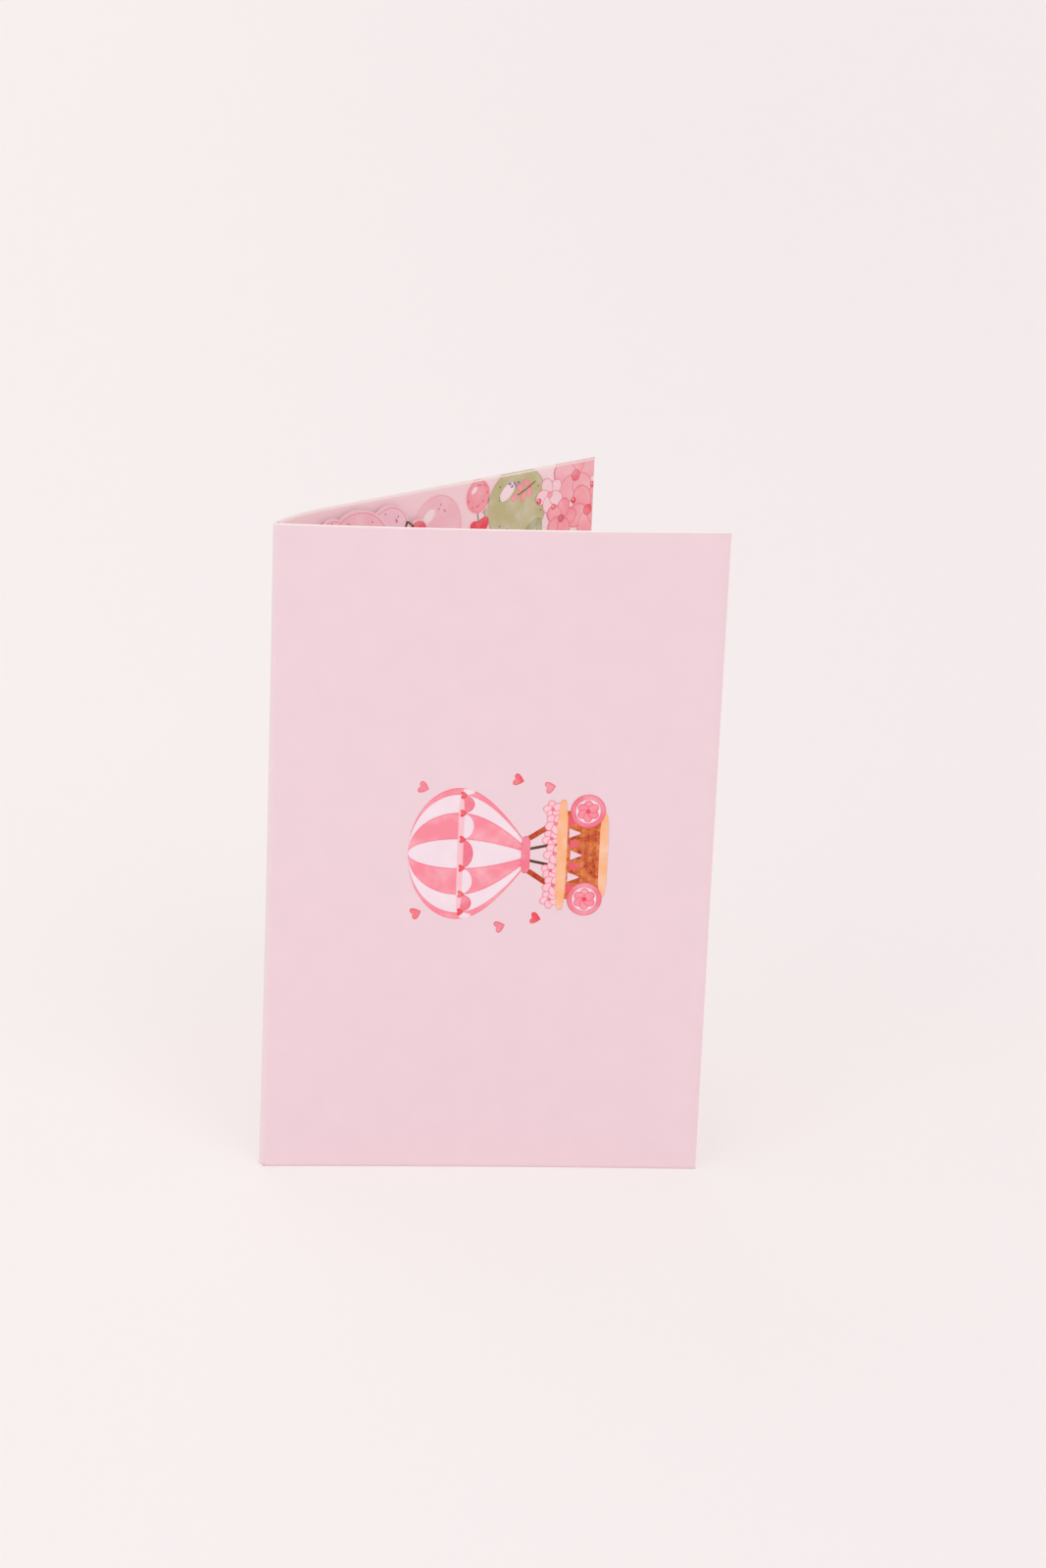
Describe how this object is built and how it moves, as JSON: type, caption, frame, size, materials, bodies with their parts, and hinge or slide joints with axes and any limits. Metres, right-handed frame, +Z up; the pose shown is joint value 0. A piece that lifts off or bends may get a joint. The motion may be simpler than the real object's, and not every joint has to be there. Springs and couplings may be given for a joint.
{
  "type": "greeting card",
  "caption": "Upright folded greeting card standing part open, with a printed inner sheet and a raised die-cut motif near the fold.",
  "frame": {"origin": "on the surface it stands on, in the middle of the standing card's bounding box", "axes": "+Z up along the card's height, +X along the front panel from the fold to its free edge, -Y the way the front panel faces"},
  "size_m": [0.119, 0.0782, 0.18],
  "materials": {
    "cover": "smooth uncoated pale pink board with white cut edges",
    "inner_sheet": "smooth paper with a printed pattern in pinks and sage green",
    "raised_motif": "smooth printed card, die-cut with a white border",
    "foam_pad": "white adhesive foam"
  },
  "bodies": {
    "root": {"cover": "cover", "inner_sheet": "inner_sheet", "raised_motif": "raised_motif", "foam_pad_1": "foam_pad", "foam_pad_2": "foam_pad", "foam_pad_3": "foam_pad", "foam_pad_4": "foam_pad"}
  },
  "joints": []
}
